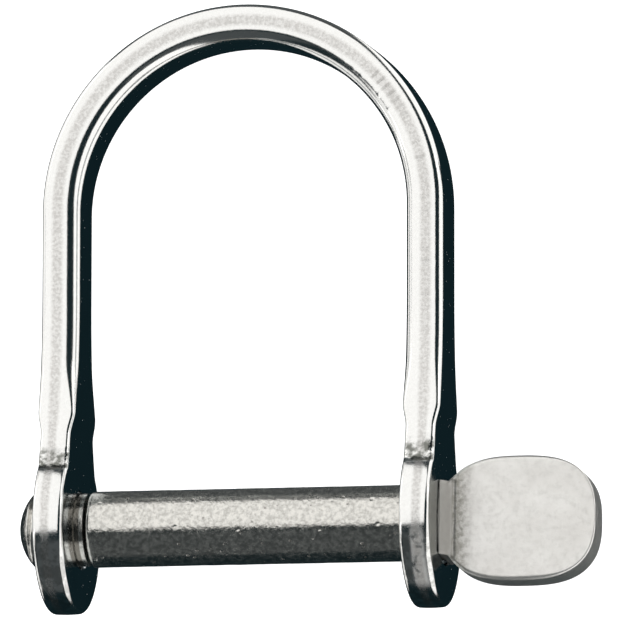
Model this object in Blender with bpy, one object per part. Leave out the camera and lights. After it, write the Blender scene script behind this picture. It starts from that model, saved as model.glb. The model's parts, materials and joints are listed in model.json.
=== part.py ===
"""Bow shackle with a screw pin, bent from strip steel.

The bow is a flat strip with a round ear at each end, bent round a half-circle crown.
The pin is a plain shank, a threaded end with a domed tip, and a head flattened into a thumb paddle.
The shackle lies at rest on both ear rims and the lower edge of its crown.
World axes: X runs along the pin towards the paddle, +Y from the pin to the crown, +Z up.
Units are metres and radians.
"""

import math

import bmesh
import bpy
from mathutils import Matrix, Vector

MM = 0.001

# Bow strip
JAW_WIDTH = 21.7 * MM          # clear width between the legs
LEG_THICKNESS = 2.5 * MM
STRIP_WIDTH = 4.6 * MM         # at the crown and the upper legs
CROWN_HEIGHT = 20.7 * MM       # pin axis to the centre of the crown's half circle
EDGE_ROUND = 0.5 * MM          # radius of the strip's long edges

# Ears
EAR_DIAMETER = 11.1 * MM
EAR_THICKNESS = 2.0 * MM
FLARE_START = 15.0 * MM        # height over the pin axis where the strip begins to widen
EAR_SHOULDER = 3.9 * MM        # height where the widening strip meets the ear's circle
THINNING_TOP = 7.6 * MM        # the leg thins to the ear's thickness between these two heights
THINNING_BOTTOM = 6.0 * MM

# Pin
PIN_DIAMETER = 5.0 * MM
PIN_HOLE_CLEARANCE = 0.25 * MM      # radial, shank in the plain ear
THREAD_PITCH = 0.8 * MM
THREAD_DEPTH = 0.4 * MM
THREAD_UNDERSIZE = 0.1 * MM         # radial, thread crest below the shank
THREAD_HOLE_CLEARANCE = 0.25 * MM   # radial, crest in the tapped ear
RELIEF_LENGTH = 0.8 * MM            # groove between the full shank and the tapped ear
TIP_REACH = 2.0 * MM                # tip beyond the tapped ear
TIP_DOME = 0.9 * MM                 # length of the tip's domed end
TIP_ROUNDNESS = 0.8                 # 1 would close the dome, 0 would leave the tip flat
SHANK_CHAMFER = 0.25 * MM
PIECE_GAP = 0.3 * MM                # between the pin's pieces

# Head
NECK_UNDERSIZE = 0.1 * MM      # radial, neck below the shank
NECK_LENGTH = 0.1 * MM         # round stretch outside the ear
FLATTENED_AT = 1.2 * MM        # distance from the ear where the head has its full flatness
PADDLE_LENGTH = 10.1 * MM      # the oval's length, which starts at the ear's outer face
PADDLE_HEIGHT = 8.2 * MM
PADDLE_THICKNESS = 2.6 * MM
PADDLE_SQUARENESS = 2.7        # exponent of the outline, 2 is an ellipse
SECTION_SQUARENESS = 4.5       # exponent of the flat section, 2 is an ellipse
PADDLE_RIM = 0.35              # share of the thickness that the rounded far end keeps
PADDLE_TURN = math.radians(-4)  # paddle's lean out of the bow's plane

# Mesh fineness
CROWN_STEPS = 28
FLARE_STEPS = 9
EAR_STEPS = 22
BORE_STEPS = 40
PIN_STEPS = 36
THREAD_STEPS = 24
THREAD_STEPS_PER_TURN = 8
PADDLE_STEPS = 22
SECTION_STEPS = 36
LAST_BUT_ONE_SHARE = 0.96      # where the paddle's last stations lie, as shares of its length's sweep
LAST_SHARE = 0.999

# Derived places
EAR_RADIUS = EAR_DIAMETER / 2
STRIP_HALF = STRIP_WIDTH / 2
LEG_MIDDLE = (JAW_WIDTH + LEG_THICKNESS) / 2
EAR_INNER = LEG_MIDDLE - EAR_THICKNESS / 2
EAR_OUTER = LEG_MIDDLE + EAR_THICKNESS / 2
PIN_RADIUS = PIN_DIAMETER / 2
NECK_RADIUS = PIN_RADIUS - NECK_UNDERSIZE
CREST_RADIUS = PIN_RADIUS - THREAD_UNDERSIZE
ROOT_RADIUS = CREST_RADIUS - THREAD_DEPTH
PLAIN_BORE_RADIUS = PIN_RADIUS + PIN_HOLE_CLEARANCE
TAPPED_BORE_RADIUS = CREST_RADIUS + THREAD_HOLE_CLEARANCE
SHANK_START = -(EAR_INNER - RELIEF_LENGTH)
SHANK_END = LEG_MIDDLE - PIECE_GAP / 2
HEAD_START = LEG_MIDDLE + PIECE_GAP / 2
CROWN_OUTER = CROWN_HEIGHT + LEG_MIDDLE + LEG_THICKNESS / 2


def clear_scene():
    for item in list(bpy.data.objects):
        bpy.data.objects.remove(item)


def steel(name, colour, roughness):
    material = bpy.data.materials.new(name)
    material.use_nodes = True
    shader = material.node_tree.nodes["Principled BSDF"]
    shader.inputs["Base Color"].default_value = (*colour, 1)
    shader.inputs["Metallic"].default_value = 1
    shader.inputs["Roughness"].default_value = roughness
    return material


def mesh_object(name, points, faces, material, parent):
    mesh = bpy.data.meshes.new(name)
    mesh.from_pydata([tuple(point) for point in points], [], faces)
    mesh.materials.append(material)
    shape = bpy.data.objects.new(name, mesh)
    bpy.context.collection.objects.link(shape)
    shape.parent = parent
    return shape


def make_outward(shape):
    """Turns the faces of a closed mesh outwards and shades its round sides smooth."""
    work = bmesh.new()
    work.from_mesh(shape.data)
    bmesh.ops.recalc_face_normals(work, faces=work.faces)
    work.to_mesh(shape.data)
    work.free()
    shape.data.shade_smooth()
    shape.data.set_sharp_from_angle(angle=math.radians(35))


def turned(name, profile, steps, material, parent):
    """Solid of revolution about X. profile is (x, radius) from one end face to the other."""
    points = []
    for x, radius in profile:
        for step in range(steps):
            angle = math.tau * step / steps
            points.append((x, radius * math.cos(angle), radius * math.sin(angle)))
    return close_rings(name, points, len(profile), steps, material, parent)


def close_rings(name, points, rings, steps, material, parent):
    """Closed skin over equal rings of points, with a flat face at each end."""
    faces = []
    for ring in range(rings - 1):
        for step in range(steps):
            after = (step + 1) % steps
            low = ring * steps
            high = low + steps
            faces.append((low + step, low + after, high + after, high + step))
    faces.append(tuple(range(steps)))
    faces.append(tuple(range((rings - 1) * steps, rings * steps)))
    shape = mesh_object(name, points, faces, material, parent)
    make_outward(shape)
    return shape


# The flare is one arc. It leaves the straight strip without a kink and ends on the ear's circle.
SHOULDER_ANGLE = math.acos(EAR_SHOULDER / EAR_RADIUS)
FLARE_DROP = FLARE_START - EAR_SHOULDER
FLARE_RISE = EAR_RADIUS * math.sin(SHOULDER_ANGLE) - STRIP_HALF
FLARE_RADIUS = (FLARE_DROP ** 2 + FLARE_RISE ** 2) / (2 * FLARE_RISE)


def strip_half_width(height):
    """Half the strip's width at a height over the pin axis."""
    if height >= FLARE_START:
        return STRIP_HALF
    drop = FLARE_START - height
    return STRIP_HALF + FLARE_RADIUS - math.sqrt(FLARE_RADIUS ** 2 - drop ** 2)


def strip_rows():
    """Rows of the right half of the strip, as (x, y, half width), from the ear up to the crown's top."""
    rows = []
    for step in range(FLARE_STEPS):
        height = EAR_SHOULDER + FLARE_DROP * step / FLARE_STEPS
        rows.append((LEG_MIDDLE, height, strip_half_width(height)))
    rows.append((LEG_MIDDLE, FLARE_START, STRIP_HALF))
    for step in range(CROWN_STEPS // 2 + 1):
        angle = math.pi * step / CROWN_STEPS
        x = LEG_MIDDLE * math.cos(angle)
        y = CROWN_HEIGHT + LEG_MIDDLE * math.sin(angle)
        rows.append((x, y, STRIP_HALF))
    return rows


def ear_thinning(height):
    """Share of the leg's thickness left at a height: 1 above the thinning, less in the ear."""
    reach = (height - THINNING_BOTTOM) / (THINNING_TOP - THINNING_BOTTOM)
    reach = min(1, max(0, reach))
    thin = EAR_THICKNESS / LEG_THICKNESS
    return thin + (1 - thin) * reach


def bore_cutter(name, middle_x, radius, parent):
    length = 3 * LEG_THICKNESS
    ends = ((middle_x - length / 2, radius), (middle_x + length / 2, radius))
    cutter = turned(name, ends, BORE_STEPS, None, parent)
    cutter.hide_render = True
    cutter.display_type = "WIRE"
    return cutter


def make_bow(material, parent):
    right = strip_rows()
    left = [(-x, y, half) for x, y, half in reversed(right[:-1])]
    rows = right + left
    points = []
    for x, y, half in rows:
        points += [(x, y, -half), (x, y, half)]
    faces = []
    for row in range(len(rows) - 1):
        low = 2 * row
        faces.append((low, low + 1, low + 3, low + 2))
    for x, first, last in ((LEG_MIDDLE, 1, 0), (-LEG_MIDDLE, 2 * len(rows) - 1, 2 * len(rows) - 2)):
        rim = [first]
        sweep = 2 * (math.pi - SHOULDER_ANGLE)
        for step in range(1, EAR_STEPS):
            angle = SHOULDER_ANGLE + sweep * step / EAR_STEPS
            rim.append(len(points))
            points.append((x, EAR_RADIUS * math.cos(angle), EAR_RADIUS * math.sin(angle)))
        faces.append(tuple(rim + [last]))
    bow = mesh_object("bow", points, faces, material, parent)

    work = bmesh.new()
    work.from_mesh(bow.data)
    bmesh.ops.recalc_face_normals(work, faces=work.faces)
    work.to_mesh(bow.data)
    work.free()

    group = bow.vertex_groups.new(name="thickness")
    for vertex in bow.data.vertices:
        group.add([vertex.index], ear_thinning(vertex.co.y), "REPLACE")
    thicken = bow.modifiers.new("thickness of the strip", "SOLIDIFY")
    thicken.thickness = LEG_THICKNESS
    thicken.offset = 0
    thicken.vertex_group = "thickness"
    rounding = bow.modifiers.new("rounded edges", "BEVEL")
    rounding.width = EDGE_ROUND
    rounding.segments = 3
    rounding.limit_method = "ANGLE"
    rounding.angle_limit = math.radians(50)
    bores = (("plain bore", LEG_MIDDLE, PLAIN_BORE_RADIUS), ("tapped bore", -LEG_MIDDLE, TAPPED_BORE_RADIUS))
    for name, x, radius in bores:
        cut = bow.modifiers.new(name, "BOOLEAN")
        cut.operation = "DIFFERENCE"
        cut.solver = "EXACT"
        cut.object = bore_cutter(name.replace(" ", "_") + "_cutter", x, radius, parent)
    return bow


def make_shank(material, parent):
    profile = (
        (SHANK_START, PIN_RADIUS - SHANK_CHAMFER),
        (SHANK_START + SHANK_CHAMFER, PIN_RADIUS),
        (SHANK_END, PIN_RADIUS),
    )
    return turned("pin_shank", profile, PIN_STEPS, material, parent)


def thread_radius(x, angle, start, dome_start, tip):
    """Radius of the threaded end: relief groove, helical ridge, then a domed tip."""
    turn = (start - x) / THREAD_PITCH - angle / math.tau
    ridge = 0.5 + 0.5 * math.cos(math.tau * turn)
    run_in = min(1, max(0, (start - x) / (THREAD_PITCH / 2)))
    radius = ROOT_RADIUS + THREAD_DEPTH * ridge * run_in
    if x < dome_start:
        along = (dome_start - x) / (dome_start - tip)
        dome = CREST_RADIUS * math.sqrt(max(0, 1 - TIP_ROUNDNESS * along ** 2))
        radius = min(radius, dome)
    return radius


def make_thread(material, parent):
    neck_end = SHANK_START - PIECE_GAP
    start = -EAR_INNER
    tip = -(EAR_OUTER + TIP_REACH)
    dome_start = tip + TIP_DOME
    count = round((start - tip) / THREAD_PITCH * THREAD_STEPS_PER_TURN)
    stations = [neck_end] + [start + (tip - start) * step / count for step in range(count + 1)]
    points = []
    for x in stations:
        for step in range(THREAD_STEPS):
            angle = math.tau * step / THREAD_STEPS
            radius = thread_radius(x, angle, start, dome_start, tip)
            points.append((x, radius * math.cos(angle), radius * math.sin(angle)))
    return close_rings("pin_thread", points, len(stations), THREAD_STEPS, material, parent)


def head_half_height(x):
    """Half the head's height: the neck's radius, or the oval's outline where that is wider."""
    along = 2 * (x - EAR_OUTER) / PADDLE_LENGTH - 1
    inside = max(0, 1 - abs(along) ** PADDLE_SQUARENESS)
    outline = PADDLE_HEIGHT / 2 * inside ** (1 / PADDLE_SQUARENESS)
    if along < 0:
        outline = max(outline, NECK_RADIUS)
    return outline


def head_section(x):
    """One closed ring of the head: round at the neck, nearly a rectangle along the paddle."""
    full = PADDLE_THICKNESS / 2
    flat = (x - EAR_OUTER - NECK_LENGTH) / (FLATTENED_AT - NECK_LENGTH)
    flat = 0.5 - 0.5 * math.cos(math.pi * min(1, max(0, flat)))
    half_thickness = NECK_RADIUS + (full - NECK_RADIUS) * flat
    from_end = (EAR_OUTER + PADDLE_LENGTH - x) / full
    if from_end < 1:
        half_thickness = full * (PADDLE_RIM + (1 - PADDLE_RIM) * math.sqrt(1 - (1 - from_end) ** 2))
    exponent = 2 / (2 + (SECTION_SQUARENESS - 2) * flat)
    half_height = head_half_height(x)
    ring = []
    for step in range(SECTION_STEPS):
        angle = math.tau * step / SECTION_STEPS
        across = math.cos(angle)
        through = math.sin(angle)
        y = half_height * math.copysign(abs(across) ** exponent, across)
        z = half_thickness * math.copysign(abs(through) ** exponent, through)
        ring.append((x, y, z))
    return ring


def make_head(material, parent):
    last_angle = LAST_BUT_ONE_SHARE * math.pi
    stations = [HEAD_START]
    for step in range(PADDLE_STEPS + 1):
        along = (1 - math.cos(last_angle * step / PADDLE_STEPS)) / 2
        stations.append(EAR_OUTER + PADDLE_LENGTH * along)
    stations.append(EAR_OUTER + LAST_SHARE * PADDLE_LENGTH)
    points = []
    for x in stations:
        points += head_section(x)
    head = close_rings("pin_head", points, len(stations), SECTION_STEPS, material, parent)
    head.rotation_euler.x = PADDLE_TURN
    return head


def rest_tilt():
    """Angle about X at which the ears' rims and the crown's lower edge share one floor."""
    corner_y = CROWN_OUTER - EDGE_ROUND
    corner_z = -(STRIP_HALF - EDGE_ROUND)
    reach = math.hypot(corner_y, corner_z)
    return -(math.atan2(corner_z, corner_y) + math.asin((EAR_RADIUS - EDGE_ROUND) / reach))


def stand_on_origin(root, shapes):
    """Moves the whole shackle so that the middle of its lowest plane is the world's origin."""
    bpy.context.view_layer.update()
    graph = bpy.context.evaluated_depsgraph_get()
    low = Vector((math.inf,) * 3)
    high = Vector((-math.inf,) * 3)
    for shape in shapes:
        final = shape.evaluated_get(graph)
        for vertex in final.to_mesh().vertices:
            place = final.matrix_world @ vertex.co
            low = Vector(map(min, low, place))
            high = Vector(map(max, high, place))
        final.to_mesh_clear()
    middle = (low + high) / 2
    root.matrix_world = Matrix.Translation((-middle.x, -middle.y, -low.z)) @ root.matrix_world


def main():
    clear_scene()
    root = bpy.data.objects.new("rest_frame", None)
    bpy.context.collection.objects.link(root)
    root.rotation_euler.x = rest_tilt()
    bow_steel = steel("polished strip steel", (0.62, 0.61, 0.58), 0.22)
    pin_steel = steel("worn shank steel", (0.45, 0.44, 0.42), 0.38)
    head_steel = steel("satin forged steel", (0.66, 0.65, 0.62), 0.42)
    shapes = [
        make_bow(bow_steel, root),
        make_shank(pin_steel, root),
        make_thread(pin_steel, root),
        make_head(head_steel, root),
    ]
    stand_on_origin(root, shapes)


main()
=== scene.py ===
import json
import math

import bmesh
import bpy
from mathutils import Matrix, Vector


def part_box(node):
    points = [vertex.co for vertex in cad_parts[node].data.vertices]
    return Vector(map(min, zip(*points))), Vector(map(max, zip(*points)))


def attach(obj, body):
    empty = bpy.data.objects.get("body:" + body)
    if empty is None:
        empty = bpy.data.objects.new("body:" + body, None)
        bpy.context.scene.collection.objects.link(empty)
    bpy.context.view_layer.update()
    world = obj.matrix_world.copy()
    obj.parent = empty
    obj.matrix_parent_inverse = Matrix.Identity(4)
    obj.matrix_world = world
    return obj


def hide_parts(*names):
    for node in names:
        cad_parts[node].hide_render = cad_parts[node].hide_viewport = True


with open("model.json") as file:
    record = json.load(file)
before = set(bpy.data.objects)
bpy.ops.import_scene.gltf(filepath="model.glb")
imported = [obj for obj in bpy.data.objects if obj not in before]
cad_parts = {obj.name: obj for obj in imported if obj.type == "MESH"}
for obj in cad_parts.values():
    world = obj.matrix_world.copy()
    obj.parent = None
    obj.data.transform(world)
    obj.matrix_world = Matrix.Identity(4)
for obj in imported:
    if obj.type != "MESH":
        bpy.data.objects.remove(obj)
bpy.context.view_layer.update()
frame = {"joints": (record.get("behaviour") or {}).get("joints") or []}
print("frame loaded")


class Val:  # wraps one socket, so that sums on sockets read as sums
    def __init__(self, tree, socket):
        self.tree = tree
        self.socket = socket

    def math(self, operation, first, second=None):
        return self.tree.node("ShaderNodeMath", {"operation": operation}, {0: first, 1: second})

    def __add__(self, other):
        return self.math("ADD", self, other)

    def __radd__(self, other):
        return self.math("ADD", other, self)

    def __sub__(self, other):
        return self.math("SUBTRACT", self, other)

    def __rsub__(self, other):
        return self.math("SUBTRACT", other, self)

    def __mul__(self, other):
        return self.math("MULTIPLY", self, other)

    def __rmul__(self, other):
        return self.math("MULTIPLY", other, self)

    def __truediv__(self, other):
        return self.math("DIVIDE", self, other)

    def __rtruediv__(self, other):
        return self.math("DIVIDE", other, self)

    def __pow__(self, other):
        return self.math("POWER", self, other)

    def __abs__(self):
        return self.math("ABSOLUTE", self)

    def atMost(self, other):
        return self.math("MINIMUM", self, other)

    def atLeast(self, other):
        return self.math("MAXIMUM", self, other)

    def sine(self):
        return self.math("SINE", self)

    def cosine(self):
        return self.math("COSINE", self)

    def root(self):
        return self.math("SQRT", self)

    def sign(self):
        return self.math("SIGN", self)

    def ramp(self, low, high):  # 0 below low, 1 above high, eased between
        settings = {"interpolation_type": "SMOOTHSTEP"}
        sockets = {"Value": self, "From Min": low, "From Max": high}
        return self.tree.node("ShaderNodeMapRange", settings, sockets)


class Tree:  # a node tree with one way to add any node
    def __init__(self, nodeTree):
        self.nodes = nodeTree.nodes
        self.links = nodeTree.links

    def node(self, kind, settings=None, sockets=None, out=0):
        made = self.nodes.new(kind)
        for name, value in (settings or {}).items():
            setattr(made, name, value)
        for name, value in (sockets or {}).items():
            if isinstance(value, Val):
                self.links.new(value.socket, made.inputs[name])
            elif value is not None:
                made.inputs[name].default_value = value
        return Val(self, made.outputs[out])

    def axes(self, vector):
        split = self.node("ShaderNodeSeparateXYZ", None, {0: vector}).socket.node
        return [Val(self, socket) for socket in split.outputs]

    def vector(self, x, y, z):
        return self.node("ShaderNodeCombineXYZ", None, {0: x, 1: y, 2: z})

    def noise(self, vector, scale, detail=2.0, rough=0.5):
        sockets = {"Vector": vector, "Scale": scale, "Detail": detail, "Roughness": rough}
        return self.node("ShaderNodeTexNoise", None, sockets)

    def cells(self, vector, scale):  # distance to the nearest of many scattered points
        return self.node("ShaderNodeTexVoronoi", None, {"Vector": vector, "Scale": scale}, "Distance")

    def blendColour(self, factor, first, second):
        settings = {"data_type": "RGBA"}
        return self.node("ShaderNodeMix", settings, {0: factor, 6: first, 7: second}, 2)


# Lengths below are in millimetres from the pin's axis, in the bow's own plane:
# x along the pin, y up the legs to the crown, z out of the bow's plane.
bow = {
    "legThickness": 2.5,
    "earThickness": 2.0,
    "halfWidth": 2.3,
    "crownHeight": 20.7,
    "earRadius": 5.55,
    "earTrim": 0.03,          # polished off the ears' rims
    "flareStart": 15.0,
    "shoulder": 3.9,          # height where the flare runs into the ear
    "shoulderFillet": 0.7,
    "thinTop": 7.6,
    "thinBottom": 6.0,
    "innerEdge": 0.9,         # corner radius of the strip's long edges, inside the bend
    "outerEdge": 0.5,
    "earEdge": 0.28,          # the same round the ears
    "earEdgeUntil": 7.0,      # heights between which the ears' corner turns into the long one
    "longEdgeFrom": 11.0,
    "edgeCrown": 0.05,        # how much the cut edge bulges
    "grainShift": 0.16,       # the grained middle of the cut edge lies this far outwards
    "markDepth": 0.035,       # how deep the bending tool's marks are
    "step": 0.14,             # spacing of points along the outline
    "filletSteps": 8,
    "cornerSteps": 11,
    "flatSteps": 4,
    "bridgeSteps": 28,        # points across the strip where the ear's face begins
    "plainBore": 2.75,
    "plainSteps": 4,
    "tappedBore": 2.53,
    "tappedSteps": 30,
    "tappedPitch": 0.8,
    "tappedDepth": 0.22,
    "boreChamfer": 0.08,
}
joints = {joint["name"]: joint for joint in frame["joints"]}
pinCentre = Vector(joints["pin_turn"]["pos_m"])
bowLow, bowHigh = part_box("bow")
bow["crownRadius"] = (bowHigh.x - bowLow.x) * 500 - bow["legThickness"] / 2
bow["quarterArc"] = bow["crownRadius"] * math.pi / 2
bow["earCentre"] = bow["quarterArc"] + bow["crownHeight"]
earOuter = bow["crownRadius"] + bow["earThickness"] / 2
earInner = bow["crownRadius"] - bow["earThickness"] / 2


def restLean():  # the lean that puts the ear rims and the crown's lower edge on one floor
    cadEdge = 0.5
    acrossY = bow["crownHeight"] + bow["crownRadius"] + bow["legThickness"] / 2 - cadEdge
    acrossZ = cadEdge - bow["halfWidth"]
    reach = math.hypot(acrossY, acrossZ)
    return -math.atan2(acrossZ, acrossY) - math.asin((bow["earRadius"] - cadEdge) / reach)


lean = Matrix.Rotation(restLean(), 4, "X")
place = Matrix.Translation(pinCentre) @ lean @ Matrix.Scale(0.001, 4)


def meshFrom(name, points, faces, values=None):
    mesh = bpy.data.meshes.new(name)
    mesh.from_pydata(points, [], faces)
    for label, numbers in (values or {}).items():
        mesh.attributes.new(label, "FLOAT", "POINT").data.foreach_set("value", numbers)
    work = bmesh.new()
    work.from_mesh(mesh)
    bmesh.ops.remove_doubles(work, verts=work.verts, dist=1e-5)
    bmesh.ops.recalc_face_normals(work, faces=work.faces)
    work.to_mesh(mesh)
    work.free()
    mesh.shade_smooth()
    return mesh


def bentByNodes(name, mesh, inputs, build, material):
    # runs a geometry node tree over the mesh and keeps the result as a plain mesh
    group = bpy.data.node_groups.new(name, "GeometryNodeTree")
    side = group.interface
    side.new_socket("Geometry", in_out="INPUT", socket_type="NodeSocketGeometry")
    keys = {}
    for label in inputs:
        keys[label] = side.new_socket(label, in_out="INPUT", socket_type="NodeSocketFloat").identifier
    finish = side.new_socket("Material", in_out="INPUT", socket_type="NodeSocketMaterial").identifier
    side.new_socket("Geometry", in_out="OUTPUT", socket_type="NodeSocketGeometry")
    tree = Tree(group)
    entry = tree.nodes.new("NodeGroupInput")
    sizes = {label: Val(tree, entry.outputs[label]) for label in inputs}
    shape = build(tree, Val(tree, entry.outputs["Geometry"]), sizes)
    shape = tree.node("GeometryNodeRealizeInstances", None, {0: shape})
    coat = {"Geometry": shape, "Material": Val(tree, entry.outputs["Material"])}
    shape = tree.node("GeometryNodeSetMaterial", None, coat)
    leave = tree.nodes.new("NodeGroupOutput")
    tree.links.new(shape.socket, leave.inputs[0])

    piece = bpy.data.objects.new(name, mesh)
    bpy.context.scene.collection.objects.link(piece)
    modifier = piece.modifiers.new(name, "NODES")
    modifier.node_group = group
    for label, value in inputs.items():
        modifier[keys[label]] = float(value)
    modifier[finish] = material
    graph = bpy.context.evaluated_depsgraph_get()
    shaped = piece.evaluated_get(graph)
    result = bpy.data.meshes.new_from_object(shaped, preserve_all_data_layers=True, depsgraph=graph)
    piece.modifiers.remove(modifier)
    piece.data = result
    result.name = name
    return piece


def settle(piece, body, nodes, sharp=40):
    # puts a finished piece where the CAD has it and tells the frame what it stands for
    piece.data.transform(place)
    piece.data.shade_smooth()
    piece.data.set_sharp_from_angle(angle=math.radians(sharp))
    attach(piece, body)
    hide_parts(*nodes)
    print(piece.name, len(piece.data.polygons), "faces")


# The bow is built as a flat blank, with its outline, rim and bores, and then bent.

def quarterOutline():
    # one quarter of the outline, from the crown's middle to the ear's tip, as (along, across, normal)
    half = bow["halfWidth"]
    ear = bow["earCentre"]
    radius = bow["earRadius"] - bow["earTrim"]
    flareAt = ear - bow["flareStart"]
    meetAt = ear - bow["shoulder"]
    meetWidth = math.sqrt(radius ** 2 - bow["shoulder"] ** 2)
    drop = meetAt - flareAt
    rise = meetWidth - half
    flareRadius = (drop ** 2 + rise ** 2) / (2 * rise)
    flareCentre = Vector((flareAt, half + flareRadius))
    earPoint = Vector((ear, 0))
    fillet = bow["shoulderFillet"]
    # the fillet's centre keeps its distance from the ear's circle and from the flare's arc
    gap = flareCentre - earPoint
    toEar = radius + fillet
    toFlare = flareRadius - fillet
    along = (gap.length_squared + toEar ** 2 - toFlare ** 2) / (2 * gap.length)
    off = math.sqrt(max(0, toEar ** 2 - along ** 2))
    unit = gap.normalized()
    filletCentre = earPoint + unit * along + Vector((-unit.y, unit.x)) * off
    if filletCentre.x > ear:
        filletCentre = earPoint + unit * along - Vector((-unit.y, unit.x)) * off

    points = []
    count = round(flareAt / bow["step"])
    for index in range(count):
        points.append((Vector((flareAt * index / count, half)), Vector((0, 1))))
    away = (filletCentre - flareCentre).normalized()
    flareEnd = math.atan2(away.x, -away.y)
    count = round(flareRadius * flareEnd / bow["step"])
    for index in range(count):
        angle = flareEnd * index / count
        turn = Vector((math.sin(angle), -math.cos(angle)))
        points.append((flareCentre + turn * flareRadius, -turn))
    back = earPoint - filletCentre
    start = math.atan2(away.y, away.x)
    end = math.atan2(back.y, back.x)
    for index in range(bow["filletSteps"]):
        angle = start + (end - start) * index / bow["filletSteps"]
        turn = Vector((math.cos(angle), math.sin(angle)))
        points.append((filletCentre + turn * fillet, -turn))
    shoulder = len(points)
    start = math.atan2(-back.y, -back.x)
    count = round(radius * start / bow["step"])
    for index in range(count + 1):
        angle = start * (1 - index / count)
        turn = Vector((math.cos(angle), math.sin(angle)))
        points.append((earPoint + turn * radius, turn))
    return points, shoulder


def ease(value, low, high):
    reach = min(1, max(0, (value - low) / (high - low)))
    return reach * reach * (3 - 2 * reach)


def thicknessAt(along):
    height = bow["earCentre"] - abs(along)
    thin = bow["earThickness"]
    return thin + (bow["legThickness"] - thin) * ease(height, bow["thinBottom"], bow["thinTop"])


def rimProfile(along):
    # from the outer face over the rim to the inner face, as (inset, through the strip)
    half = thicknessAt(along) / 2
    straight = ease(bow["earCentre"] - abs(along), bow["earEdgeUntil"], bow["longEdgeFrom"])
    steps = bow["cornerSteps"]
    flatSteps = bow["flatSteps"]
    sides = []
    for long in (bow["outerEdge"], bow["innerEdge"]):
        corner = bow["earEdge"] + (long - bow["earEdge"]) * straight
        flat = half - corner
        bulge = bow["edgeCrown"] * (flat / half) ** 2
        start = math.atan(2 * bulge / flat)  # the corner takes over the bulge's slope
        radius = corner / (1 - math.sin(start))
        deepest = bulge + radius * math.cos(start)
        side = [(deepest + 0.12, half)]
        for index in range(steps):
            angle = math.pi / 2 + (start - math.pi / 2) * index / steps
            level = flat + radius * (math.sin(angle) - math.sin(start))
            side.append((bulge + radius * (math.cos(start) - math.cos(angle)), level))
        for index in range(flatSteps):
            level = flat * (1 - index / flatSteps)
            side.append((bulge * (level / flat) ** 2, level))
        sides.append(side)
    outer, inner = sides
    return outer + [(0, 0)] + [(inset, -level) for inset, level in reversed(inner)]


def bowBlank():
    quarter, shoulder = quarterOutline()
    count = len(quarter)
    loop = []
    for index in range(count):
        loop.append((quarter[index], 1, 1))
    for index in range(count - 2, -1, -1):
        loop.append((quarter[index], 1, -1))
    for index in range(1, count):
        loop.append((quarter[index], -1, -1))
    for index in range(count - 2, 0, -1):
        loop.append((quarter[index], -1, 1))
    points = []
    edge = []
    centre = []
    faces = []
    rings = len(loop)
    for (point, normal), alongSide, acrossSide in loop:
        profile = rimProfile(point.x)
        half = thicknessAt(point.x) / 2
        for inset, level in profile:
            spot = point - normal * inset
            points.append((spot.x * alongSide, spot.y * acrossSide, level))
            edge.append(max(0, 1 - abs(level) / half) + 0.001)
            centre.append(max(0, 1 - abs(level - bow["grainShift"]) / half))
    deep = len(profile)
    for ring in range(rings):
        after = (ring + 1) % rings
        for level in range(deep - 1):
            low = ring * deep + level
            high = after * deep + level
            faces.append((low, high, high + 1, low + 1))

    def ringAt(index, alongSide, acrossSide):  # a quarter's index as the whole loop's
        if alongSide > 0:
            return index if acrossSide > 0 else 2 * (count - 1) - index
        if acrossSide < 0:
            return 2 * (count - 1) + index
        return (4 * (count - 1) - index) % rings

    def addPoint(x, y, z):
        points.append((x, y, z))
        edge.append(0)
        centre.append(0)
        return len(points) - 1

    for alongSide in (1, -1):
        for level in (0, deep - 1):  # the strip's two faces, between its rims
            for index in range(shoulder):
                rows = []
                for spot in (index, index + 1):
                    rows.append(ringAt(spot, alongSide, 1) * deep + level)
                    rows.append(ringAt(spot, alongSide, -1) * deep + level)
                if index < shoulder - 1:
                    faces.append((rows[0], rows[2], rows[3], rows[1]))
            lastRow = rows
            bridge = []
            first = Vector(points[lastRow[2]])
            last = Vector(points[lastRow[3]])
            for index in range(1, bow["bridgeSteps"]):
                bridge.append(addPoint(*last.lerp(first, index / bow["bridgeSteps"])))
            faces.append((lastRow[0], lastRow[2], *reversed(bridge), lastRow[3], lastRow[1]))
            border = []
            for index in range(shoulder, count):
                border.append(ringAt(index, alongSide, 1) * deep + level)
            for index in range(count - 2, shoulder - 1, -1):
                border.append(ringAt(index, alongSide, -1) * deep + level)
            border += bridge
            addEarFace(points, faces, addPoint, border, alongSide, level == 0)
        addBore(points, faces, addPoint, alongSide)
    along = [point[0] for point in points]
    return meshFrom("bowBlank", points, faces, {"edge": edge, "centre": centre, "along": along})


boreLoops = {}


def boreRadius(alongSide):
    return bow["plainBore"] if alongSide > 0 else bow["tappedBore"]


def addEarFace(points, faces, addPoint, border, alongSide, outer):
    # rings of faces from the ear's rim down to the mouth of its bore
    middle = Vector((bow["earCentre"] * alongSide, 0))
    mouth = boreRadius(alongSide) + bow["boreChamfer"]
    level = points[border[0]][2]
    half = math.copysign(bow["earThickness"] / 2, level)
    shares = (0.5, 0.9, 1)
    ring = border
    for share in shares:
        inner = []
        for vertex in border:
            rim = Vector(points[vertex][:2])
            goal = middle + (rim - middle).normalized() * mouth
            spot = rim.lerp(goal, share)
            inner.append(addPoint(spot.x, spot.y, half))
        for index in range(len(ring)):
            after = (index + 1) % len(ring)
            faces.append((ring[index], ring[after], inner[after], inner[index]))
        ring = inner
    boreLoops[(alongSide, outer)] = ring


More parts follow.
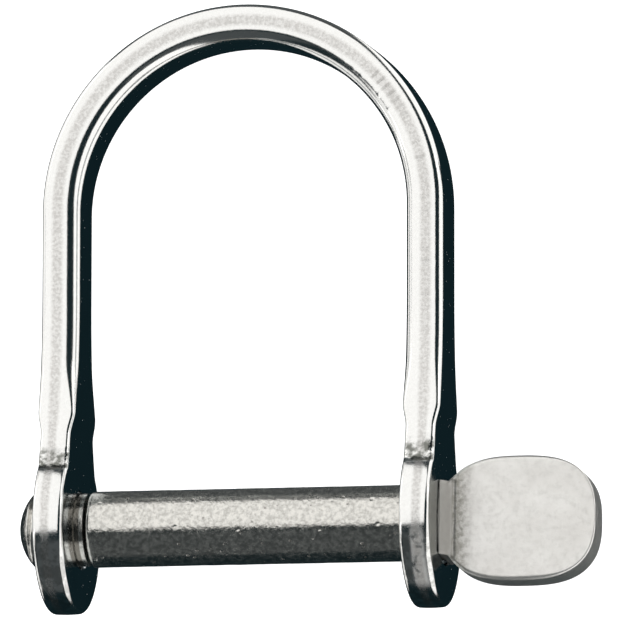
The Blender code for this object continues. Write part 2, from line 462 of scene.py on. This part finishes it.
def addBore(points, faces, addPoint, alongSide):
    # the bore's wall, plain on one side and with a thread on the other
    outer = boreLoops[(alongSide, True)]
    inner = boreLoops[(alongSide, False)]
    middle = Vector((bow["earCentre"] * alongSide, 0))
    radius = boreRadius(alongSide)
    half = bow["earThickness"] / 2
    chamfer = bow["boreChamfer"]
    levels = bow["plainSteps"] if alongSide > 0 else bow["tappedSteps"]
    ring = outer
    for step in range(levels + 1):
        level = (half - chamfer) * (1 - 2 * step / levels)
        after = []
        for vertex in outer:
            direction = (Vector(points[vertex][:2]) - middle).normalized()
            groove = 0
            if alongSide < 0:
                turn = math.atan2(direction.y, direction.x) / math.tau
                wave = 0.5 + 0.5 * math.cos(math.tau * (level / bow["tappedPitch"] + turn))
                groove = bow["tappedDepth"] * wave * ease(half - chamfer - abs(level), 0, 0.3)
            spot = middle + direction * (radius + groove)
            after.append(addPoint(spot.x, spot.y, level))
        for index in range(len(ring)):
            following = (index + 1) % len(ring)
            faces.append((ring[index], ring[following], after[following], after[index]))
        ring = after
    for index in range(len(ring)):
        following = (index + 1) % len(ring)
        faces.append((ring[index], ring[following], inner[following], inner[index]))


def bendRoundCrown(tree, geometry, sizes):
    # the flat blank lies along x, its width along y and its thickness along z
    position = tree.node("GeometryNodeInputPosition")
    along, across, out = tree.axes(position)
    quarter = sizes["Crown radius"] * (math.pi / 2)
    beyond = abs(along)
    angle = beyond.atMost(quarter) / sizes["Crown radius"]
    straight = (beyond - quarter).atLeast(0)
    reach = sizes["Crown radius"] + out
    x = along.sign() * reach * angle.sine()
    y = sizes["Crown height"] + reach * angle.cosine() - straight
    # cross marks that the bending tool left on the right-hand side of the cut edges
    edge = tree.node("GeometryNodeInputNamedAttribute", {"data_type": "FLOAT"}, {"Name": "edge"})
    marks = tree.noise(tree.vector(along * 2.4, out * 0.35, across.sign()), 1.0, 3.0)
    marked = marks.ramp(0.52, 0.72) * edge.ramp(0.35, 0.7)
    marked = marked * along.ramp(5, 10) * (1 - along.ramp(26, 33))
    z = across - across.sign() * marked * sizes["Mark depth"]
    bent = tree.vector(x, y, z)
    return tree.node("GeometryNodeSetPosition", None, {"Geometry": geometry, "Position": bent})


def newMaterial(name):
    material = bpy.data.materials.new(name)
    material.use_nodes = True
    tree = Tree(material.node_tree)
    shader = material.node_tree.nodes["Principled BSDF"]
    shader.inputs["Metallic"].default_value = 1
    space = tree.node("ShaderNodeTexCoord", None, None, "Object")
    inMillimetres = tree.node("ShaderNodeVectorMath", {"operation": "SCALE"}, {0: space, "Scale": 1000})
    return material, tree, shader, inMillimetres


def feed(tree, shader, sockets):
    for name, value in sockets.items():
        tree.links.new(value.socket, shader.inputs[name])


def bump(tree, height, strength, distance):
    sockets = {"Strength": strength, "Distance": distance, "Height": height}
    return tree.node("ShaderNodeBump", None, sockets)


def polishedStrip():
    material, tree, shader, spot = newMaterial("polishedStrip")
    edge = tree.node("ShaderNodeAttribute", {"attribute_name": "edge"}, None, "Fac")
    along = tree.node("ShaderNodeAttribute", {"attribute_name": "along"}, None, "Fac")
    centre = tree.node("ShaderNodeAttribute", {"attribute_name": "centre"}, None, "Fac")
    onEdge = edge.ramp(0.005, 0.03)
    middle = centre.ramp(0.6, 0.86)
    overPin = bow["earCentre"] - abs(along)
    ragged = overPin + tree.noise(spot, 1.1, 3.0) * 1.4 - 0.7
    # a ragged band on the cut edge just above the ears, darkened in patches and dented
    patchesAboveEars = overPin.ramp(3.5, 3.8) * (1 - ragged.ramp(4.4, 5.3)) * onEdge
    # painted dark reflection: the cut edge below the pin's level is darkened, apart from a rubbed strip
    underside = (1 - overPin.ramp(-1.6, -0.6)) * onEdge
    dents = tree.noise(spot, 1.8, 3.0)
    side = tree.axes(spot)[0] - pinCentre.x * 1000 - along.sign() * bow["crownRadius"]
    rubbed = underside * along.ramp(-1, 1) * side.ramp(-0.4, -0.1) * (1 - side.ramp(0.5, 0.8))
    rubbed = rubbed * overPin.ramp(-4.7, -4.1) * dents.ramp(0.25, 0.5)
    cloud = tree.noise(spot, 0.5, 4.0)
    fine = tree.noise(spot, 9.0, 3.0)
    specks = 1 - tree.cells(spot, 2.2).ramp(0.07, 0.13)
    specks = specks * tree.noise(spot, 0.9).ramp(0.45, 0.6) * (1 - onEdge)
    streaks = tree.noise(tree.vector(along * 1.8, centre * 2.4, 0), 3.0, 5.0, 0.7)
    rungs = (along * (math.tau / 0.54)).sine().ramp(0.1, 0.8)
    rungs = rungs * along.ramp(9.2, 9.8) * (1 - along.ramp(11.6, 14.4))
    rungs = rungs.atLeast(1 - abs(along - 16.1).ramp(0.05, 0.16)) * middle * streaks.ramp(0.2, 0.5)
    faceColour = tree.blendColour(cloud, (0.56, 0.6, 0.61, 1), (0.68, 0.7, 0.7, 1))
    edgeColour = tree.blendColour(fine, (0.8, 0.785, 0.755, 1), (0.88, 0.87, 0.845, 1))
    speckle = tree.noise(spot, 4.6, 3.0, 0.6).ramp(0.38, 0.62)
    grained = middle * (0.32 + streaks.ramp(0.36, 0.64) * 0.34 + speckle * 0.34) + speckle * 0.08
    edgeColour = tree.blendColour(grained, edgeColour, (0.57, 0.55, 0.525, 1))
    edgeColour = tree.blendColour(rungs * 0.35, edgeColour, (0.28, 0.27, 0.25, 1))
    # darkens the patches above the ears and paints a dark reflection onto the cut edge below the pin's level
    patchesAndPaintedReflection = (patchesAboveEars * 1.3 + (underside - rubbed).atLeast(0) * 0.4).atMost(1) * dents.ramp(0.38, 0.6)
    edgeColour = tree.blendColour(patchesAndPaintedReflection, edgeColour, (0.2, 0.2, 0.18, 1))
    colour = tree.blendColour(onEdge, faceColour, edgeColour)
    rough = 0.08 + cloud * 0.05 + onEdge * (0.02 + fine * 0.05) + specks * 0.5 + middle * 0.1 + rubbed * 0.42
    height = fine * 0.25 * onEdge + streaks * middle * 0.6 - specks - rungs * 0.6
    height = height + dents * (patchesAboveEars * 14 + underside * 0.8)
    normal = bump(tree, height, 0.25, 0.00004)
    feed(tree, shader, {"Base Color": colour, "Roughness": rough, "Normal": normal})
    return material


def scuffed(material, tree, shader, colour, normal, factor, roughness):
    # lays a second, rougher reflection over part of the surface
    sockets = {"Base Color": colour, "Metallic": 1.0, "Roughness": roughness, "Normal": normal}
    scuff = tree.node("ShaderNodeBsdfPrincipled", None, sockets)
    both = tree.node("ShaderNodeMixShader", None, {0: factor, 1: Val(tree, shader.outputs[0]), 2: scuff})
    tree.links.new(both.socket, material.node_tree.nodes["Material Output"].inputs["Surface"])


def wornShank():
    material, tree, shader, spot = newMaterial("wornShank")
    cloud = tree.noise(spot, 0.7, 5.0)
    grain = tree.noise(spot, 3.6, 5.0, 0.6)
    fine = tree.noise(spot, 6.0, 4.0)
    pits = 1 - tree.cells(spot, 1.5).ramp(0.08, 0.2)
    pits = pits * tree.noise(spot, 0.8).ramp(0.4, 0.55)
    colour = tree.blendColour(grain.ramp(0.35, 0.65), (0.5, 0.485, 0.45, 1), (0.76, 0.735, 0.685, 1))
    colour = tree.blendColour(pits * 0.7, colour, (0.2, 0.19, 0.17, 1))
    along = tree.axes(spot)[0] - pinCentre.x * 1000
    # a band along the pin at the tapped ear's inner face, coloured darker and browner
    bandAtTappedEar = along.ramp(-earInner - 0.2, -earInner) * (1 - along.ramp(-earInner + 0.3, -earInner + 0.42))
    colour = tree.blendColour(bandAtTappedEar * 0.8, colour, (0.14, 0.12, 0.095, 1))
    rough = 0.11 + fine * 0.09 + pits * 0.3
    height = fine * 0.45 + grain * 0.95 + cloud * 0.6 - pits
    normal = bump(tree, height, 0.3, 0.00005)
    feed(tree, shader, {"Base Color": colour, "Roughness": rough, "Normal": normal})
    scuffed(material, tree, shader, colour, normal, 0.05 + grain.ramp(0.4, 0.7) * 0.14, 0.55)
    return material


def satinHead():
    material, tree, shader, spot = newMaterial("satinHead")
    cloud = tree.noise(spot, 0.35, 3.0)
    grain = tree.noise(spot, 2.6, 5.0, 0.65)
    outward = tree.axes(spot)[0] - (pinCentre.x * 1000 + earOuter + 0.8)
    nearCrease = outward.ramp(-0.15, 0) * (1 - outward.ramp(0.1, 1.5))
    colour = tree.blendColour(cloud.ramp(0.3, 0.7), (0.8, 0.775, 0.735, 1), (0.88, 0.86, 0.82, 1))
    colour = tree.blendColour(grain.ramp(0.4, 0.8) * 0.35, colour, (0.68, 0.66, 0.62, 1))
    # painted shade in the crease where the shoulder's slope meets the flat, broken up by the grain
    paintedCreaseShade = nearCrease * (0.3 + grain.ramp(0.35, 0.65) * 0.5)
    # painted shade: the collar's sloping face, from the ear up to the crease, is darkened
    colour = tree.blendColour((1 - outward.ramp(-0.06, 0.02)) * 0.78, colour, (0.26, 0.25, 0.23, 1))
    colour = tree.blendColour(paintedCreaseShade, colour, (0.3, 0.28, 0.23, 1))
    rough = 0.3 + grain * 0.14
    height = grain * (1 + nearCrease * 2) + cloud * 0.5
    normal = bump(tree, height, 0.3, 0.00005)
    feed(tree, shader, {"Base Color": colour, "Roughness": rough, "Normal": normal})
    scuffed(material, tree, shader, colour, normal, 0.12 + grain.ramp(0.4, 0.7) * 0.16, 0.7)
    return material


stripSteel = polishedStrip()
shankSteel = wornShank()
headSteel = satinHead()
print("finishes ready")


def makeBow():
    inputs = {
        "Crown radius": bow["crownRadius"], "Crown height": bow["crownHeight"],
        "Mark depth": bow["markDepth"],
    }
    piece = bentByNodes("bow_strip", bowBlank(), inputs, bendRoundCrown, stripSteel)
    settle(piece, "bow", ["bow"])


makeBow()

pin = {
    "radius": 2.5,
    "shankStart": -(earInner - 0.8),
    "shankEnd": bow["crownRadius"] - 0.15,
    "endRound": 0.22,
    "aroundSteps": 190,
    "alongSteps": 260,
    "pitSize": 0.2,
    "pitDepth": 0.05,
}
thread = {
    "crest": 2.4,
    "depth": 0.4,
    "pitch": 0.8,
    "start": -(earInner - 0.62),
    "relief": 0.67,           # smooth length before the thread begins
    "tip": -(earOuter + 2.0),
    "domeRadius": 3.5,
    "aroundSteps": 96,
    "alongSteps": 130,
}


def barAlongPin(tree, around, along, start, end):
    # a cylinder from nodes with its own x run along the pin; returns it with x and its unit circle
    sockets = {"Vertices": around, "Side Segments": along, "Fill Segments": 1, "Radius": 1, "Depth": 1}
    bar = tree.node("GeometryNodeMeshCylinder", None, sockets)
    circleY, circleZ, share = tree.axes(tree.node("GeometryNodeInputPosition"))
    x = (share + 0.5) * (end - start) + start
    return bar, x, circleY, circleZ


def wornBar(tree, geometry, sizes):
    around, along = pin["aroundSteps"], pin["alongSteps"]
    bar, x, ringY, ringZ = barAlongPin(tree, around, along, sizes["Start"], sizes["End"])
    radius = sizes["Radius"]
    spot = tree.vector(x, ringY * radius, ringZ * radius)
    pits = 1 - tree.cells(spot, 1.5).ramp(0.05, sizes["Pit size"])
    pits = pits * tree.noise(spot, 0.8).ramp(0.4, 0.55)
    waves = tree.noise(spot, 0.9, 3.0) - 0.5
    fromEnd = (x - sizes["Start"]).atMost(sizes["End round"]) / sizes["End round"]
    rounding = 1 - (1 - (1 - fromEnd) ** 2).atLeast(0).root()
    worn = radius - sizes["Pit depth"] * pits - 0.02 - waves.atLeast(-0.3) * 0.04
    worn = worn - rounding * sizes["End round"]
    bent = tree.vector(x, ringY * worn, ringZ * worn)
    return tree.node("GeometryNodeSetPosition", None, {"Geometry": bar, "Position": bent})


def makeShank():
    inputs = {
        "Radius": pin["radius"], "Start": pin["shankStart"], "End": pin["shankEnd"],
        "End round": pin["endRound"], "Pit size": pin["pitSize"], "Pit depth": pin["pitDepth"],
    }
    piece = bentByNodes("plain_shank", bpy.data.meshes.new("shankSeed"), inputs, wornBar, shankSteel)
    settle(piece, "sliding_pin", ["pin_shank"])


def helicalBar(tree, geometry, sizes):
    around, along = thread["aroundSteps"], thread["alongSteps"]
    bar, x, ringY, ringZ = barAlongPin(tree, around, along, sizes["Tip"], sizes["Start"])
    turn = tree.node("ShaderNodeMath", {"operation": "ARCTAN2"}, {0: ringZ, 1: ringY}) / math.tau
    wave = ((x / sizes["Pitch"] + turn) * math.tau).cosine() * 0.5 + 0.5
    crest = wave.ramp(0.08, 0.85)
    fromTip = x - sizes["Tip"]
    cut = (sizes["Start"] - sizes["Relief"] - x).ramp(0, 0.4) * fromTip.ramp(0.8, 1.3)
    radius = sizes["Crest"] - sizes["Depth"] * (1 - crest) * cut
    dome = (sizes["Dome radius"] ** 2 - (sizes["Dome radius"] - fromTip.atMost(2)) ** 2).atLeast(0.01).root()
    radius = radius.atMost(dome)
    bent = tree.vector(x, ringY * radius, ringZ * radius)
    return tree.node("GeometryNodeSetPosition", None, {"Geometry": bar, "Position": bent})


def makeThread():
    inputs = {
        "Tip": thread["tip"], "Start": thread["start"], "Pitch": thread["pitch"], "Crest": thread["crest"],
        "Depth": thread["depth"], "Dome radius": thread["domeRadius"], "Relief": thread["relief"],
    }
    piece = bentByNodes("threaded_end", bpy.data.meshes.new("threadSeed"), inputs, helicalBar, shankSteel)
    settle(piece, "turning_pin", ["pin_thread"], 60)


makeShank()
makeThread()

head = {
    "start": bow["crownRadius"] + 0.15,
    "neckRadius": 2.4,
    "collarHeight": 2.44,     # half heights and half thicknesses of the shoulder next to the ear
    "collarThick": 2.35,
    "creaseAt": 0.82,         # where the shoulder's slope meets the flat, from the ear's outer face
    "creaseThick": 1.36,
    "creaseRound": 0.28,
    "length": 10.1,
    "halfHeight": 4.1,
    "halfThickness": 1.3,
    "squareness": 2.7,
    "edge": 0.3,
    "endSharper": 0.17,       # less rounding of the edge towards the far end, between these places
    "sharperFrom": 6,
    "sharperUntil": 9,
    "collarFrom": 0.01,       # the neck grows into the collar between these places
    "collarUntil": 0.04,
    "reach": 0.9985,          # share of the length that the last station lies at
    "lean": math.radians(-4),
    "stations": 120,
    "acrossSteps": 64,
}


def headOutline(x):
    along = 2 * (x - earOuter) / head["length"] - 1
    inside = max(0, 1 - abs(along) ** head["squareness"])
    return head["halfHeight"] * inside ** (1 / head["squareness"])


def headSection(x):
    # half height, how steeply the outline runs, half thickness and corner radius at a place along the pin
    neck = head["neckRadius"]
    if x < earOuter + 0.015:
        return neck, 0, neck, neck
    out = x - earOuter
    grown = ease(out, head["collarFrom"], head["collarUntil"])
    collar = neck + (head["collarHeight"] - neck) * grown
    outline = headOutline(x)
    slope = 0
    if out > head["length"] / 2:
        collar = 0
    if outline > collar:
        step = 0.002
        slope = (headOutline(x + step) - headOutline(x - step)) / (2 * step)
    height = max(collar, outline)
    ramp = (head["collarThick"] - head["creaseThick"]) / (head["creaseAt"] - 0.1)
    slanted = head["creaseThick"] + ramp * (head["creaseAt"] - out)
    settled = ease(out, head["creaseAt"], head["creaseAt"] + 1.6)
    flat = head["creaseThick"] + (head["halfThickness"] - head["creaseThick"]) * settled
    blend = head["creaseRound"]
    thickness = max(slanted, flat)
    if abs(slanted - flat) < blend:
        thickness += (blend - abs(slanted - flat)) ** 2 / (4 * blend)
    thickness = min(thickness, neck + (head["collarThick"] - neck) * grown)
    edge = head["edge"] - head["endSharper"] * ease(out, head["sharperFrom"], head["sharperUntil"])
    corner = neck + (edge - neck) * grown
    return height, slope, thickness, min(corner, thickness)


def headRing(x):
    height, slope, thickness, corner = headSection(x)
    steep = 1 / math.sqrt(1 + slope * slope)
    steps = head["acrossSteps"]
    face = []
    for index in range(steps + 1):
        y = height * math.cos(math.pi * index / steps)
        inside = min(corner, (height - abs(y)) * steep)
        face.append((y, thickness - corner + math.sqrt(corner ** 2 - (corner - inside) ** 2)))
    wall = face[0][1]
    ring = [(x, y, z) for y, z in face]
    ring += [(x, -height, wall * share) for share in (0.5, 0, -0.5)]
    ring += [(x, y, -z) for y, z in reversed(face)]
    ring += [(x, height, wall * share) for share in (-0.5, 0, 0.5)]
    return ring


def makeHead():
    stations = [head["start"] + (earOuter - head["start"]) * index / 3 for index in range(4)]
    stations += [earOuter + 0.015 + 0.008 * index for index in range(6)] + [earOuter + 0.1]
    stations += [earOuter + 0.16 + 0.045 * index for index in range(44)]
    begin = stations[-1] + 0.05
    for index in range(head["stations"] + 1):
        share = math.sin(math.pi / 2 * index / head["stations"])
        stations.append(begin + (earOuter + head["length"] * head["reach"] - begin) * share)
    rings = [headRing(x) for x in stations]
    size = len(rings[0])
    points = [point for ring in rings for point in ring]
    faces = []
    for row in range(len(rings) - 1):
        for index in range(size):
            after = (index + 1) % size
            low = row * size
            high = low + size
            faces.append((low + index, low + after, high + after, high + index))
    faces.append(tuple(range(size)))
    faces.append(tuple(range((len(rings) - 1) * size, len(rings) * size)))
    mesh = meshFrom("thumb_paddle", points, faces)
    mesh.transform(Matrix.Rotation(head["lean"], 4, "X"))
    mesh.materials.append(headSteel)
    piece = bpy.data.objects.new("thumb_paddle", mesh)
    bpy.context.scene.collection.objects.link(piece)
    settle(piece, "turning_pin", ["pin_head"])


makeHead()

studio = {
    "yaw": math.radians(12.3),      # camera towards the paddle's side
    "pitch": math.radians(7.4),     # camera towards the pin's side
    "roll": math.radians(0.1),
    "distance": 0.6,
    "viewWidth": 40.19,             # millimetres across the frame at the bow
    "centre": (4.0, 14.1),          # where the frame's middle lies from the pin's middle
    "lightAway": 0.6,
    "panels": [  # name, sideways, upward, half width, half height, brightness, glossy, roll
        ("mainPanel", -31, 33, 39, 41, 1.15),
        ("leftPanel", -93, 18, 23, 26, 1.1),
        ("lowLeftPanel", -66, -12, 22, 8, 1.0),
        ("bottomLeftPanel", -97, -36, 22, 24, 1.0, True, -40),
        ("rightPanel", 90, -32, 42, 55, 1.2, True, -17),
        ("highRightPanel", 105, 43, 42, 22, 1.2),
        ("nearFill", -6, -58, 26, 38, 0.06),
        ("farFill", -10, 118, 40, 34, 0.08),
        ("floorWash", 0, 0, 65, 65, 0.45, False),
    ],
}


def makeCamera():
    yaw = studio["yaw"]
    pitch = studio["pitch"]
    back = Vector((math.sin(yaw) * math.cos(pitch), -math.sin(pitch), math.cos(yaw) * math.cos(pitch)))
    right = Vector((0, 1, 0)).cross(back).normalized()
    up = back.cross(right)
    target = right * studio["centre"][0] + up * studio["centre"][1]
    camera = bpy.data.objects.new("camera", bpy.data.cameras.new("camera"))
    bpy.context.scene.collection.objects.link(camera)
    camera.data.lens = 36 * studio["distance"] * 1000 / studio["viewWidth"]
    camera.data.clip_start = 0.01
    camera.data.clip_end = 50
    turn = Matrix((right, up, back)).transposed().to_4x4()
    turn = turn @ Matrix.Rotation(studio["roll"], 4, "Z")
    spot = place @ (target + back * studio["distance"] * 1000)
    camera.matrix_world = Matrix.Translation(spot) @ lean @ turn
    bpy.context.scene.camera = camera


def softLight(name, sideways, upward, width, height, brightness, glossy=True, roll=0):
    # sideways and upward are degrees from straight above the bow; width and height are the panel's
    # half angles; brightness is its own radiance
    turn = Matrix.Rotation(math.radians(sideways), 4, "Y") @ Matrix.Rotation(math.radians(-upward), 4, "X")
    turn = turn @ Matrix.Rotation(math.radians(roll), 4, "Z")
    light = bpy.data.lights.new(name, "AREA")
    light.shape = "RECTANGLE"
    light.size = 2 * studio["lightAway"] * math.tan(math.radians(width))
    light.size_y = 2 * studio["lightAway"] * math.tan(math.radians(height))
    light.energy = brightness * math.pi * light.size * light.size_y
    panel = bpy.data.objects.new(name, light)
    bpy.context.scene.collection.objects.link(panel)
    middle = Matrix.Translation(place @ Vector((0, 14, 0)))
    panel.matrix_world = middle @ lean @ turn @ Matrix.Translation((0, 0, studio["lightAway"]))
    panel.visible_camera = False
    panel.visible_glossy = glossy


def makeStudio():
    bpy.ops.mesh.primitive_plane_add(size=3)
    floor = bpy.context.object
    floor.name = "floor"
    paper = bpy.data.materials.new("paleFloor")
    paper.use_nodes = True
    shader = paper.node_tree.nodes["Principled BSDF"]
    shader.inputs["Base Color"].default_value = (0.9, 0.9, 0.9, 1)
    shader.inputs["Roughness"].default_value = 0.9
    shader.inputs["Emission Color"].default_value = (1, 1, 1, 1)
    shader.inputs["Emission Strength"].default_value = 0.85
    floor.data.materials.append(paper)
    floor.visible_glossy = False
    for panel in studio["panels"]:
        softLight(*panel)
    world = bpy.data.worlds.new("studio")
    bpy.context.scene.world = world
    world.use_nodes = True
    tree = Tree(world.node_tree)
    seen = tree.node("ShaderNodeLightPath", None, None, "Is Camera Ray")
    colour = tree.blendColour(seen, (0.006, 0.016, 0.02, 1), (0.97, 0.97, 0.97, 1))
    tree.links.new(colour.socket, world.node_tree.nodes["Background"].inputs["Color"])
    bpy.context.scene.view_settings.view_transform = "Standard"


makeCamera()
makeStudio()
print("studio ready")
